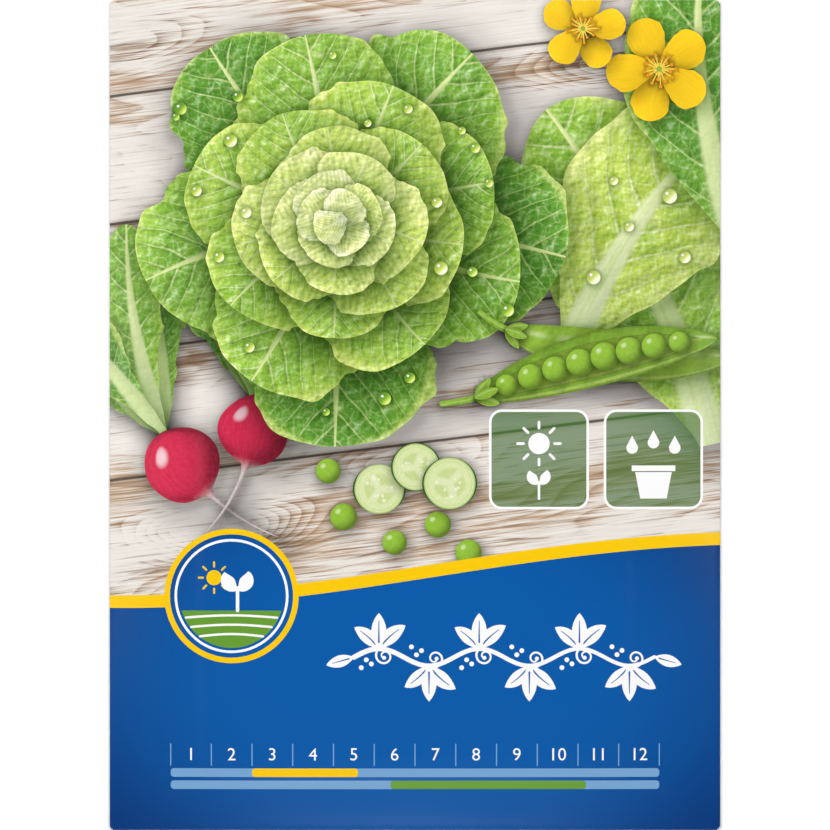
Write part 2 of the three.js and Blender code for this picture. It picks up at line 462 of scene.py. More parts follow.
def radish_ink(at):
    along, edge = split(at.local)[0], at.edge
    down = (along / BEET_MIDDLE).math("MINIMUM", 1.75)
    body, gleam = ball_light(edge, 0.9 * (1 - down), 0.8)
    streak = noise(join(along * 3.2, edge * 5), 3.0, 4)
    skin = coats(
        mix(streak, (196, 22, 58), (226, 60, 96)),
        (smooth(along + 0.06 * (streak - 0.5), 0.42, 0.54), (252, 236, 234)),
        (smooth(along + 0.05 * (streak - 0.5), 0.05, 0.0) * 0.7, (140, 30, 60)),
    )
    skin = scaled(skin, body + crinkle(at, 1.2, 0.3))
    return lit(at, mix(gleam, skin, (255, 226, 232)))


def slice_ink(at):
    """A cut round of cucumber: dark skin, pale flesh, and seeds in three fans."""
    x, y, seed = split(at.local)
    away = hypot(x, y)
    turn = y.math("ARCTAN2", x)
    wobble = noise(join(x, y, seed), 1.6, 3) - 0.5
    grain = noise(join(x, y, seed), 9.0, 4, 0.6)
    core = smooth(away + wobble * 0.12, 0.62, 0.50)
    third = (turn / math.tau * 3 + seed).math("FRACT")
    arms = smooth(abs(third - 0.5) * away, 0.10, 0.04)
    pips = smooth(cells(join(turn * 1.9, away * 4.4, seed)), 0.36, 0.24)
    colour = coats(
        mix(grain, (206, 222, 148), (236, 242, 196)),
        (core * 0.55, (188, 210, 124)),
        (arms * core * 0.6, (238, 242, 204)),
        (pips * smooth(away, 0.16, 0.24) * core * 0.8, (246, 246, 220)),
        (smooth(abs(away - 0.80), 0.05, 0.0) * 0.35, (176, 204, 112)),
        (smooth(away, 0.84, 0.93) * 0.7, (150, 188, 84)),
        (smooth(away + wobble * 0.03, 0.925, 0.95), (40, 88, 34)),
    )
    return lit(at, colour)


def petal_ink(at):
    along, across, seed = split(at.local)
    streak = noise(join(along * 1.2, across * 16, seed), 2.0, 3)
    petal = mix(streak, (246, 184, 8), (255, 222, 40))
    throat = smooth(along, 0.42, 0.05)
    return lit(at, mix(throat * 0.7, petal, (222, 158, 6)))


def blue_ink(at):
    """The field's blue, deeper towards the panel's lower corners."""
    u, v, _ = split(at.sheet)
    x, y = u / 74, (v + 50) / 46
    return mix(smooth(x * x + y * y, 0.12, 1.15), BLUE, DEEP_BLUE)


def plain_ink(at):
    return lit(at, at.paint)


# What a shape may be filled with besides a plain colour, in the order of the bag's
# materials. The glaze needs none, because it only tints.
PAPER, GLAZE = "paper", "glaze"
INKS = [board_ink, leaf_ink, dew_ink, pea_ink, pod_ink, stalk_ink]
INKS += [radish_ink, slice_ink, petal_ink, blue_ink, plain_ink]
FILLS = [PAPER, *INKS, GLAZE]
EVENLY_LIT = (PAPER, blue_ink, plain_ink)  # no shadow falls on them unless they are lifted


# Outlines on the flat sheet, where a place is a complex number: to the right, and up


def smoothstep(low, high, value):
    share = np.clip((value - low) / (high - low), 0, 1)
    return share * share * (3 - 2 * share)


def turned(degrees):
    """A step of length 1 with this heading."""
    return np.exp(1j * np.radians(degrees))


def arc(centre, radius, start, end, count):
    return centre + radius * turned(np.linspace(start, end, count))


def circle(centre, radius, count=36):
    return arc(centre, radius, 0, 360, count + 1)[:-1]


def box(low, high, corner=0.0):
    """A rectangle from its lower left to its upper right, with round corners if asked."""
    a, b = low + corner * (1 + 1j), high - corner * (1 + 1j)
    centres = (b, complex(a.real, b.imag), a, complex(b.real, a.imag))
    count = 7 if corner else 1
    arcs = [arc(c, corner, 90 * i, 90 * i + 90, count) for i, c in enumerate(centres)]
    return np.concatenate(arcs)


def stroke(points, width, end_width=None):
    """The outline of a drawn line with round ends. It may taper to end_width."""
    points = np.asarray(points, complex)
    way = np.gradient(points)
    way /= abs(way)
    last = end_width or width
    aside = 0.5j * way * np.linspace(width, last, len(points))
    cap = turned(np.linspace(-90, 90, 7))[1:-1] / 2
    end = points[-1] + way[-1] * cap * last
    start = points[0] - way[0] * cap * width
    return np.concatenate([points - aside, end, (points + aside)[::-1], start])


class Axis:
    """A motif's middle line, an arc. Places are along it and to its left, in its lengths."""

    def __init__(self, base, heading, length, bend=0.0):
        self.base = base
        self.way = turned(heading)
        self.length = length
        self.bend = math.radians(bend) or 1e-4
        self.radius = length / self.bend

    def points(self, along, across):
        reach = self.radius - across * self.length
        return self.base + 1j * self.way * (self.radius - reach * np.exp(1j * self.bend * along))

    def measure(self, points):
        side = math.copysign(1, self.radius)
        spoke = side * (self.radius + 1j * (points - self.base) / self.way)
        return np.angle(spoke) / self.bend, (self.radius - side * abs(spoke)) / self.length


def blade(along, widest=0.62, base=0.3):
    """Half width of a broad leaf along its length, at most 1: round towards the tip."""
    stem = base + (1 - base) * np.sin(np.clip(along / widest, 0, 1) * math.pi / 2) ** 1.4
    tip = np.sqrt(np.clip(1 - ((along - widest) / (1 - widest)) ** 2, 0, 1))
    return np.where(along < widest, stem, tip)


def spindle(along):
    """Half width of a pod or collar, pointed at both ends."""
    return np.sin(np.clip(along, 0, 1) * math.pi) ** 0.62


def hollow(along):
    """Half width of an opened pod's inside."""
    return spindle((along - 0.06) / 0.88)


def beet(along):
    """Half width of a round root, whose second half is a thin tail."""
    body = np.sqrt(np.clip(1 - ((along - BEET_MIDDLE) / BEET_MIDDLE) ** 2, 0, 1))
    shoulder = 0.34 * np.clip((0.62 - along) / 0.22, 0, 1) ** 2
    tail = 0.07 * np.clip((1 - along) / 0.5, 0, 1) ** 0.7
    return np.maximum(body, np.where(along > 0.3, np.maximum(shoulder, tail), 0))


def waves(along, rates):
    return sum(np.sin(rate * along * math.pi + uniform(0, 7)) / i
               for i, rate in enumerate(rates, 1))


def sides(ring):
    return zip(ring, np.roll(ring, -1))


def dense(ring, longest=1.3):
    """The ring with points added, so that it follows the curved paper."""
    points = []
    for a, b in sides(ring):
        count = max(1, math.ceil(abs(b - a) / longest))
        points.extend(a + (b - a) * i / count for i in range(count))
    return np.array(points)


def near(points, ring, reach=0.0):
    """Numbers of the points in the ring's box, or no further than reach from it."""
    here = np.ones(len(points), bool)
    for part in (np.real, np.imag):
        low, high = part(ring).min() - reach, part(ring).max() + reach
        here &= (part(points) > low) & (part(points) < high)
    return np.flatnonzero(here)


def inside(points, *rings):
    """Which points the rings go round."""
    rounds = np.zeros(len(points))
    for ring in rings:
        here = near(points, ring)
        x, y = points[here].real, points[here].imag
        for a, b in sides(ring):
            rise = b.imag - a.imag
            if rise:
                crossing = a.real + (y - a.imag) * (b.real - a.real) / rise
                crossed = ((a.imag > y) != (b.imag > y)) & (x < crossing)
                rounds[here] += math.copysign(1, rise) * crossed
    return rounds != 0


def distance(points, ring):
    """How far the points are from the ring's area. Inside it is nothing."""
    nearest = np.full(len(points), np.inf)
    for a, b in sides(ring):
        way = (b - a) or 1e-9
        share = np.clip(((points - a) / way).real, 0, 1)
        nearest = np.minimum(nearest, abs(points - a - share * way))
    return np.where(inside(points, ring), 0, nearest)


shapes = []  # what is printed on the sheet, in order
uniform = random.Random(4).uniform  # every chance in the picture


def draw(fill, *rings, **more):
    """Prints the rings' area over what is there. A ring that runs backwards is a hole."""
    plain = isinstance(fill, tuple)
    shape = SimpleNamespace(axis=None, half=None, seed=0.0, hue=0.0, light=None, lift=0.0)
    shape.rings = [dense(ring) for ring in rings]
    shape.ink = plain_ink if plain else fill
    shape.paint = fill if plain else WHITE
    vars(shape).update(more)
    shapes.append(shape)


def line(fill, points, width, end_width=None):
    draw(fill, stroke(points, width, end_width))


def closed(right, left):
    """The ring up one side and back down the other, which meet at both ends."""
    return np.concatenate([right, left[-2:0:-1]])


def motif(ink, axis, half, profile, ruffle=0.0, rates=(3, 7, 13), count=46, **more):
    """A leaf, petal, pod or root along its axis. half is its half width in lengths."""
    along = 0.5 - 0.5 * np.cos(np.linspace(0, math.pi, count))
    edges = []
    for side in (-1, 1):
        swell = 1 + ruffle * waves(along, rates)
        slide = along + 0.25 * ruffle * waves(along, rates[1:]) * profile(along)
        edges.append(axis.points(slide, side * half * profile(along) * swell))
    seed = uniform(0, 50)
    draw(ink, closed(*edges), axis=axis, half=half, profile=profile, seed=seed, **more)


# The picture: leaves, pods, roots and flowers on whitewashed boards

LIGHT_FROM = 128.0  # degrees, in the picture
GOLDEN_ANGLE = 137.508


def leaf_light(heading, base_dark, strength, overall=1.0):
    """A leaf is dark at its base, and the half that turns to the light is brighter."""
    facing = math.sin(math.radians(LIGHT_FROM - heading))

    def light(along, edge):
        base = 1 - base_dark * (1 - smoothstep(0.0, 0.75, along))
        fold = 1 + strength * facing * np.tanh(edge * 2.2)
        tip = 1 + 0.08 * smoothstep(0.6, 1.0, along)
        return overall * base * fold * tip

    return light


def rosette(centre, reach, count):
    """A leafy head from above: the leaves turn by the golden angle and get shorter."""
    for i in range(count):
        share = i / (count - 1)
        heading = i * GOLDEN_ANGLE + uniform(-8, 8)
        length = reach * (1 - 0.86 * share ** 0.85) * uniform(0.95, 1.05)
        base = centre - turned(heading) * length * (0.02 + 0.22 * share)
        axis = Axis(base, heading, length, uniform(-24, 24))
        bright = 0.98 - 0.12 * share * math.cos(math.radians(heading - LIGHT_FROM))
        motif(
            leaf_ink, axis, 0.40 + 0.14 * share, blade,
            0.055 + 0.02 * (1 - share), (2, 5, 11, 19), 64,
            hue=0.19 + 0.66 * share ** 0.9 + uniform(-0.08, 0.08),
            light=leaf_light(heading, 0.48 - 0.16 * share, 0.16, bright),
            lift=0.8 + 2.6 * (1 - share),
        )


def pea(centre, radius, lift=0.9):
    axis = Axis(centre, 0, radius)
    draw(pea_ink, circle(centre, radius, 26), axis=axis, seed=uniform(0, 9), lift=lift)


def pod(base, heading, length, bend, opened):
    axis = Axis(base, heading, length, bend)
    motif(pod_ink, axis, 0.105, spindle, 0.01, lift=1.8, hue=uniform(0.3, 0.8))
    if opened:
        motif(pod_ink, axis, 0.070, hollow, hue=1.3, light=lambda along, edge: 0.72)
        for place in 0.15 + 0.70 * np.arange(8) / 7:
            size = 0.056 * length * spindle(place) ** 0.5 * uniform(0.94, 1.0)
            pea(axis.points(place, 0.004), size, 0.5)
    stem = axis.points(np.linspace(0.05, -0.11, 10), 0.03 * np.linspace(0, 1, 10) ** 2)
    stalk = Axis(stem[0], np.degrees(np.angle(stem[-1] - stem[0])), 0.16 * length)
    evenly = {"half": 0.10, "profile": np.ones_like}
    draw(stalk_ink, stroke(stem, 1.5, 1.1), axis=stalk, hue=0.7, lift=0.8, **evenly)
    for turn in (-34, 30, 0):
        collar = Axis(axis.points(0.015, 0), heading + turn, 0.10 * length)
        motif(stalk_ink, collar, 0.20, spindle, hue=0.7, lift=0.4)


def radish(centre, heading, size, bend):
    """A round root with its long tail and a tuft of leaves on stalks."""
    crown = centre - turned(heading) * size * 0.5
    for turn in (-30, 26, -8, 12):
        out = heading + 180 + turn
        axis = Axis(crown, out, size * uniform(2.3, 2.9), uniform(-30, 30))
        motif(
            leaf_ink, axis, 0.14, partial(blade, widest=0.76, base=0.14),
            0.13, (4, 9, 15), 52,
            hue=uniform(0.12, 0.34), light=leaf_light(out, 0.1, 0.12), lift=1.4,
        )
    axis = Axis(crown, heading, size * 2.1, bend)
    motif(radish_ink, axis, 0.238, beet, 0.008, count=90, lift=2.2)


def blossom(centre, size):
    start = uniform(0, 360)
    for heading in start + 144 * np.arange(5):
        axis = Axis(centre, heading, size, uniform(-14, 14))
        motif(
            petal_ink, axis, 0.36, partial(blade, widest=0.66, base=0.22),
            0.03, (3, 8, 12), 44, light=leaf_light(heading, 0.18, 0.10), lift=1.0,
        )
    draw((214, 192, 44), circle(centre, size * 0.12, 24), lift=0.25)
    for i in range(17):
        reach = size * (0.34 - 0.15 * i / 16) * uniform(0.92, 1.08)
        stamen = centre + turned(i * GOLDEN_ANGLE) * reach * np.linspace(0.2, 1, 4)
        line((248, 212, 84), stamen, 0.24)
        draw((232, 156, 26), circle(stamen[-1], size * 0.034, 12), lift=0.12)
    draw((150, 176, 62), circle(centre, size * 0.055, 16), lift=0.2)


def dewdrop(centre, size):
    """A drop takes its tone from the leaf under it. Off the leaves there is none."""
    under = [shape for shape in shapes if inside(np.array([centre]), *shape.rings)[0]][-1]
    if under.ink is leaf_ink:
        axis = Axis(centre, 0, size)
        draw(dew_ink, circle(centre, size, 24), axis=axis, hue=under.hue, lift=0.35)


def cut_round(centre, size):
    ring = circle(0, size, 48)
    ring = centre + ring.real + 1j * uniform(0.90, 0.98) * ring.imag
    axis = Axis(centre, uniform(0, 360), size)
    draw(slice_ink, ring, axis=axis, seed=uniform(0, 9), lift=0.9)


def picture():
    draw(board_ink, box(-PAST_SIDE - 36j, PAST_SIDE + 84j))
    for base, heading, length, half, bend, hue in (
        (58 - 6j, 104, 74, 0.25, 24, 0.40),
        (30 + 12j, 68, 62, 0.27, -26, 0.58),
        (64 + 34j, 112, 60, 0.24, -30, 0.16),
    ):
        motif(
            leaf_ink, Axis(base, heading, length, bend),
            half, partial(blade, widest=0.58, base=0.12), 0.045, (2, 5, 9, 17), 70,
            hue=hue, light=leaf_light(heading, 0.12, 0.16), lift=3.0,
        )
    blossom(48 + 68j, 10.5)
    blossom(33 + 76j, 8.5)
    radish(-46 - 10j, -62, 15, 40)
    radish(-31 - 3j, -84, 14, -50)
    head = -15 + 38j
    rosette(head, 48, 34)
    pod(17 + 17j, -20, 46, 26, False)
    pod(11 + 3j, 22, 50, -16, True)
    for spot in (-14 - 20j, -4 - 25j, 4.5 - 21.5j, -17 - 11j, 10.5 - 27j):
        pea(spot, uniform(2.3, 2.7))
    for spot, size in ((-7 - 14.5j, 5.2), (0.2 - 10.2j, 4.9), (6.8 - 13.4j, 5.4)):
        cut_round(spot, size)
    for _ in range(26):
        way = turned(uniform(0, 360))
        dewdrop(head + 42 * way * math.sqrt(uniform(0.08, 0.95)), uniform(0.7, 1.35))
    for x, y, size in ((35, 27, 1.4), (42, 37, 1), (50, 43, 1.5), (39, 46, 0.9), (53, 31, 1.2)):
        dewdrop(complex(x, y), size)


# The field: a curved blue base with a stripe, and generic signs


def borders(faces):
    """The rings of vertices round these faces, in order."""
    there = {side for face in faces for side in zip(face, (*face[1:], face[0]))}
    follow = {a: b for a, b in there if (b, a) not in there}
    rings = []
    while follow:
        ring = [next(iter(follow))]
        while ring[-1] in follow:
            ring.append(follow.pop(ring[-1]))
        rings.append(ring[1:])
    return rings


def digits(text, centre, height, paint):
    """Plain numbers, from the outlines of Blender's own font."""
    curve = bpy.data.curves.new("digits", "FONT")
    curve.body = text
    curve.align_x = "CENTER"
    curve.size = height * 1.4
    curve.resolution_u = 4
    holder = bpy.data.objects.new("digits", curve)
    mesh = bpy.data.meshes.new_from_object(holder)
    places = np.array([complex(*vertex.co[:2]) for vertex in mesh.vertices])
    places += centre - 0.5j * (places.imag.max() + places.imag.min())
    draw(paint, *(places[ring] for ring in borders([tuple(p.vertices) for p in mesh.polygons])))
    bpy.data.objects.remove(holder)
    bpy.data.curves.remove(curve)
    bpy.data.meshes.remove(mesh)


def small_leaf(paint, axis, width):
    along = np.linspace(0, 1, 15)
    half = width * np.sin(along * math.pi) ** 0.8
    draw(paint, closed(axis.points(along, -half), axis.points(along, half)))


def curl(paint, base, heading, size, width):
    """A tendril: a line that winds in to a dot."""
    wind = np.linspace(0, 1, 34)
    middle = base + turned(heading) * size
    spiral = middle - turned(heading + 486 * wind) * size * (1 - 0.80 * wind)
    line(paint, spiral, width, width * 0.7)
    draw(paint, circle(spiral[-1], width * 0.9, 12))


def veined_leaf(paint, ground, *place):
    axis = Axis(*place)
    small_leaf(paint, axis, 0.21)
    vein = axis.points(np.linspace(0.18, 0.78, 8), 0)
    line(ground, vein, axis.length * 0.05, axis.length * 0.02)


def vine(left, right, y, height, paint, ground):
    """A waving stem with three leaves, a tendril and three dots on each crest."""
    half_turns = 6
    wave = np.linspace(0, half_turns * math.pi, 20 * half_turns + 1)
    stem = left + (right - left) * wave / wave[-1] + 1j * (y + 0.12 * height * np.sin(wave))
    line(paint, stem, 0.07 * height, 0.05 * height)
    for i in range(half_turns):
        side = -1 if i % 2 else 1
        crest = stem[20 * i + 10]
        for heading, size, bend in ((54, 0.50, -26), (126, 0.46, 26), (90, 0.50, 0)):
            veined_leaf(paint, ground, crest, side * heading, height * size, side * bend)
        curl(paint, crest, -side * 52, 0.13 * height, 0.032 * height)
        for along, down in ((-5, 0.12), (-7, 0.20), (-3, 0.20)):
            spot = stem[20 * i + 10 + along] - 1j * side * down * height
            draw(paint, circle(spot, 0.034 * height, 14))
    for end, heading in ((stem[0], 196), (stem[-1], -16)):
        veined_leaf(paint, ground, end, heading, height * 0.40)


def sun(paint, centre, radius):
    draw(paint, circle(centre, radius, 28))
    for turn in range(0, 360, 45):
        ray = turned(turn) * radius
        line(paint, (centre + 1.45 * ray, centre + 2 * ray), radius * 0.26)


def drop(paint, centre, radius):
    draw(paint, np.append(arc(centre, radius, -215, 35, 22), centre + 2.1j * radius))


def sprout(paint, base, height):
    top = base + 0.6j * height
    line(paint, (base, top), height * 0.09)
    for heading in (24, 156):
        axis = Axis(top - 0.06j * height, heading, height * 0.62, 96 - heading)
        small_leaf(paint, axis, 0.30)


BOX_SIZE = 19.6


def frame_box(paint, low, width):
    """A square frame with round corners."""
    outer, inner = (
        box(low + inset * (1 + 1j), low + (BOX_SIZE - inset) * (1 + 1j), 2.5 - inset)
        for inset in (0, width)
    )
    draw(paint, outer, inner[::-1])


def icon_boxes():
    for low in (14.5 - 18.5j, 37 - 18.5j):
        draw(GLAZE, box(low, low + BOX_SIZE * (1 + 1j), 2.5))
        frame_box(WHITE, low, 0.5)
    sun(WHITE, 24.3 - 5.6j, 2.1)
    sprout(WHITE, 24.3 - 16.4j, 5.4)
    for spot in (42.6 - 6.45j, 46.8 - 5.4j, 51 - 6.45j):
        drop(WHITE, spot, 1.15)
    draw(WHITE, (43.2 - 11.2j, 50.4 - 11.2j, 49.4 - 16.4j, 44.2 - 16.4j))
    draw(WHITE, box(42.5 - 11j, 51.1 - 9.9j))


def badge(centre, radius):
    """A round sign astride the stripe: a sun over furrows, and a sprout."""
    for inset, fill in ((0, YELLOW), (1.1, blue_ink), (2.0, WHITE), (2.5, blue_ink)):
        draw(fill, circle(centre, radius - inset, 72))
    inner = radius - 3.0
    rim = math.degrees(math.asin(0.28))
    draw(GREEN, arc(centre, inner, 180 + rim, 360 - rim, 40))
    for share in (0.42, 0.60, 0.78):
        half = math.sqrt(1 - share**2) * inner * 0.97
        x = np.linspace(-half, half, 14)
        line(WHITE, centre + x + 1j * (0.5 * np.cos(x / half * 1.5) - share * inner), 0.45)
    sun(YELLOW, centre - 3.4 + 3.6j, 1.5)
    sprout(WHITE, centre + 1.2 - 0.28j * inner, 7.4)


def calendar(low, pale, figure):
    """Twelve numbered months with bars for sowing and picking, from its lower left."""
    month = 8
    for i in range(13):
        line(pale, (low + i * month + 4.7j, low + i * month + 8.9j), 0.22)
    for i in range(12):
        digits(str(i + 1), low + (i + 0.5) * month + 6.9j, 2.5, figure)
    for height, first, last, paint in ((2.4, 2.0, 4.6, YELLOW), (0, 5.4, 10.2, GREEN)):
        start, top = low + 1j * height, 1.7j
        draw(pale, box(start, start + 12 * month + top, 0.6))
        draw(paint, box(start + first * month, start + last * month + top, 0.6))


def front_field():
    x = np.linspace(-PAST_SIDE, PAST_SIDE, 60)
    edge = x + 1j * (0.012 * x - 30.5 + 5.5 * np.sin((x - 4) / 120 * math.pi))
    draw(blue_ink, np.append(edge, (PAST_SIDE - PAST_END, -PAST_SIDE - PAST_END)))
    draw(YELLOW, np.append(edge - 1.25j, edge[::-1] + 1.25j))
    icon_boxes()
    badge(-36 - 35.5j, 13.2)
    vine(-12, 47, -47.5, 14.0, WHITE, BLUE)
    calendar(-48 - 73.5j, PALE_BLUE, WHITE)


def back_print():
    """The back is read from behind: right is to the reader's right, from its middle."""
    first = len(shapes)
    left, right = BACK_START + BLEED - BACK_MIDDLE, 64
    draw(NEAR_WHITE, box(left - PAST_END, right + PAST_END))
    draw(blue_ink, box(left + 48j, right + PAST_END))
    draw(YELLOW, box(left + 46.4j, right + 48j))
    vine(-28, 28, 57, 9.5, WHITE, BLUE)
    calendar(-48 + 30j, PALE_GREY, DARK_BLUE)

    # Four steps: sun, water, thinning out, planting
    for i in range(4):
        frame_box(GREEN, i * 24.8 - 47 + 4j, 0.45)
    sun(YELLOW, -37.2 + 13.8j, 2.9)
    for spot in (-17.2 + 14j, -12.4 + 9.8j, -7.6 + 14j):
        drop(BLUE, spot, 1.7)
    for x in (7.6, 17.2):
        sprout(GREEN, x + 11j, 6.4)
        line(GREY, (x + 7.2j, x + 9.2j), 0.35)
    line(GREY, (7.6 + 8.2j, 17.2 + 8.2j), 0.35)
    draw(BROWN, box(29.6 + 14.4j, 45 + 15.2j))
    line(GREY, (34.4 + 14.2j, 34.4 + 7.8j), 0.35)
    draw(DARK_BROWN, circle(37.6 + 8.2j, 1.2, 20))
    sprout(GREEN, 41.2 + 15.2j, 5.4)

    for y in range(-6, -62, -8):
        line(PALE_GREY, (1j * y - 47, 1j * y + 47), 0.25)
    draw(DEEP_BLUE, box(left - PAST_END, right - 61.6j))
    draw(YELLOW, box(left - 61.6j, right - 60j))
    for shape in shapes[first:]:
        shape.rings = [ring + BACK_MIDDLE for ring in shape.rings]


def flap_print():
    """The blue field runs on over the lower flap, and the other flaps are white."""
    start = 1j * (FLAP_START + BLEED)
    draw(DEEP_BLUE, box(-PAST_SIDE - PAST_END, PAST_SIDE - start))
    draw(NEAR_WHITE, box(-PAST_SIDE + start, PAST_SIDE + PAST_END))
    draw(NEAR_WHITE, box(GLUE_END - 1 - PAST_END, GLUE_START - BLEED + PAST_END))


def sheet_outline():
    """The flat blank: the front panel with an arm on each of its four sides."""
    side = TOP - CORNER_CUT
    flap = ((0, TOP), (0, FLAP_START), (1.8, FLAP_END - 1), (3, FLAP_END))
    half = [(BACK_END, side - 0.3), (BACK_START, side), (RIGHT, side), (RIGHT, TOP)]
    half += [(RIGHT - CORNER_CUT - inset, v) for inset, v in flap]
    half += [(LEFT + CORNER_CUT + inset, v) for inset, v in flap[::-1]]
    half += [(LEFT, TOP), (LEFT, side), (GLUE_START, side), (GLUE_END, side - 5.5)]
    half = np.array([complex(*corner) for corner in half])
    return np.append(half, half[::-1].conj())


draw(PAPER, sheet_outline())
picture()
front_field()
back_print()
flap_print()


# The folded sheet in space


def noise_field(x, y, *ripples):
    """A smooth uneven height from a few crossing waves (length, heading, phase)."""
    place = x + 1j * y
    return sum(
        np.sin((place / turned(heading)).real * math.tau / length + phase)
        for length, heading, phase in ripples
    ) / len(ripples)


def crease(x, y, start, end, width):
    """A soft ridge along a line, fading at its ends."""
    way = end - start
    along = (x + 1j * y - start) / way
    fade = np.sin(np.clip(along.real, 0, 1) * math.pi) ** 2
    return np.exp(-((along.imag * abs(way) / width) ** 2)) * fade


SWELL_ROOM = 0.32  # height left for swells, creases and the step of the sachet's rim
SWELLS = ((61, 20, 0.4), (43, 118, 2.0), (37, 74, 4.1), (29, 160, 1.1))
CREASES = (  # start, end, width and height
    (-58 - 80j, -34 - 62j, 2.2, 0.15),
    (58 - 80j, 36 - 60j, 2.0, 0.14),
    (-58 + 80j, -30 + 56j, 2.6, 0.18),
    (58 + 80j, 34 + 52j, 2.4, 0.16),
    (-56 + 30j, -40 + 36j, 2.0, 0.09),
    (57 - 8j, 42 - 2j, 2.0, 0.09),
    (50 - 72j, 43 - 56j, 1.6, 0.07),
    (-48 + 74j, -41 + 60j, 1.7, 0.08),
)


def in_sachet(x, y):
    """How far a point is inside the sachet's edge."""
    gaps = (x - sachet_low.x, sachet_high.x - x, y - sachet_low.y, sachet_high.y - y)
    return np.minimum.reduce(gaps)


def front_height(x, y):
    reach = np.where(y < CROWN_Y, CROWN_Y - BOTTOM, TOP - CROWN_Y)
    across = x / np.where(x < 0, -LEFT, RIGHT)
    along = (y - CROWN_Y) / reach
    open_share = np.clip((1 - across**2) * (1 - along**2), 0, 1)
    rise = 1 - (1 - open_share) ** CROWN_POWER
    # The sachet's sealed rim shows as a faint step.
    inner = in_sachet(x, y)
    step = 0.16 * smoothstep(-1.6, 1.4, inner) - 0.06 * smoothstep(4.0, 8.5, inner)
    swell = 0.14 * noise_field(x, y, *SWELLS)
    folds = sum(height * crease(x, y, *place) for *place, height in CREASES)
    loose = smoothstep(0, 0.25, open_share)
    top = TOP_Z - SHEET / 2 - SWELL_ROOM
    return FRONT_Z + (top - FRONT_Z) * rise + (step + swell) * loose + folds * (1 - rise)


def back_height(x, y):
    side = smoothstep(0, 14, WIDTH / 2 - abs(x) - RIGHT_FOLD)
    end = smoothstep(CLOSING_FLAP + 1, CLOSING_FLAP + 12, HEIGHT / 2 - abs(y))
    return BACK_Z - LAYER * side * end


def folded(past, radius):
    """Past a fold's tangent line: how far out the paper is, and how far down."""
    turn = np.clip(past / radius, 0, math.pi)
    out = radius * np.sin(turn) - np.clip(past - math.pi * radius, 0, None)
    return out, radius * (1 - np.cos(turn))


def fold_up(flat):
    """Where the points of the flat sheet are on the folded bag: its middle surface."""
    u, v = flat.real, flat.imag
    x, y = np.clip(u, LEFT, RIGHT), np.clip(v, BOTTOM, TOP)
    z = front_height(x, y)
    for past, radius, way in ((u - RIGHT, RIGHT_FOLD, 1), (LEFT - u, LEFT_FOLD, -1)):
        out, down = folded(past, radius)
        x = np.where(past > 0, x + way * out, x)
        lift = np.where(past > math.pi * radius, back_height(x, y) - BACK_Z, 0)
        z = np.where(past > 0, FRONT_Z - down + lift, z)
    for past, way in ((v - TOP, 1), (BOTTOM - v, -1)):
        out, down = folded(past, END_FOLD)
        y = np.where(past > 0, y + way * out, y)
        z = np.where(past > 0, FRONT_Z - down, z)
    return np.column_stack([x, y, z])


def level(flat):
    return np.column_stack([flat.real, flat.imag, 0 * flat.real])


def unit(vectors):
    return vectors / np.maximum(np.linalg.norm(vectors, axis=1, keepdims=True), 1e-12)


def normals(flat, tiny=0.02):
    du = fold_up(flat + tiny) - fold_up(flat - tiny)
    dv = fold_up(flat + 1j * tiny) - fold_up(flat - 1j * tiny)
    return unit(np.cross(du, dv))


def grid_points(rng, pitch):
    """Loose points over each panel, clear of cut corners, and rows across each fold."""
    side, end = TOP - CORNER_CUT, RIGHT - CORNER_CUT
    points = []
    for left, right, bottom, top, coarse in (
        (LEFT, RIGHT, BOTTOM, TOP, 1),
        (BACK_START, BACK_END, -side, side, 2),
        (GLUE_END + 1, GLUE_START, 6 - side, side - 6, 2.5),
        (3 - end, end - 3, FLAP_START, FLAP_END, 2.5),
        (3 - end, end - 3, -FLAP_END, -FLAP_START, 2.5),
    ):
        step = coarse * pitch
        xs, ys = (
            np.linspace(a, b, max(2, round((b - a) / step)) + 1)[1:-1]
            for a, b in ((left, right), (bottom, top))
        )
        x, y = np.meshgrid(xs, ys)
        jitter = rng.uniform(-0.22, 0.22, (2, *x.shape)) * step
        points.append((x + jitter[0] + 1j * (y + jitter[1])).ravel())
    bend = math.pi * np.linspace(0, 1, 9)
    ys = np.linspace(-side, side, round(2 * side / (1.5 * pitch)))
    xs = np.linspace(-end, end, round(2 * end / (1.5 * pitch)))
    rows = [u + 1j * ys for u in (*(RIGHT + RIGHT_FOLD * bend), *(LEFT - LEFT_FOLD * bend))]
    rows += [xs + 1j * way * v for v in TOP + END_FOLD * bend for way in (-1, 1)]
    return np.concatenate(points), rows


def triangulate(rings, points, rows):
    """Triangles of the flat sheet inside the first ring that keep every ring and row."""
    places, edges = [], []
    for row, close in [(ring, True) for ring in rings] + [(row, False) for row in rows]:
        numbers = list(range(len(places), len(places) + len(row)))
        places.extend(row)
        edges.extend(zip(numbers, numbers[1:] + numbers[:close]))
    places = [Vector((place.real, place.imag)) for place in (*places, *points)]
    found = delaunay_2d_cdt(places, edges, [], 0, 1e-4, True)
    coords = np.array([complex(*place) for place in found[0]])
    triangles = np.array(found[2])
    a, b, c = coords[triangles].T
    back = ((b - a).conj() * (c - a)).imag < 0
    triangles[back] = triangles[back][:, ::-1]
    triangles = triangles[inside((a + b + c) / 3, rings[0])]
    used, numbers = np.unique(triangles, return_inverse=True)
    return coords[used], numbers.reshape(-1, 3)


def painted(middles):
    """The shape that shows at each of these places, and where the glaze is."""
    tops = np.zeros(len(middles), int)
    tints = np.zeros(len(middles), bool)
    for number, shape in enumerate(shapes):
        here = inside(middles, *shape.rings)
        if shape.ink is GLAZE:
            tints |= here
        else:
            tops[here] = number
            tints[here] = False
    return tops, tints


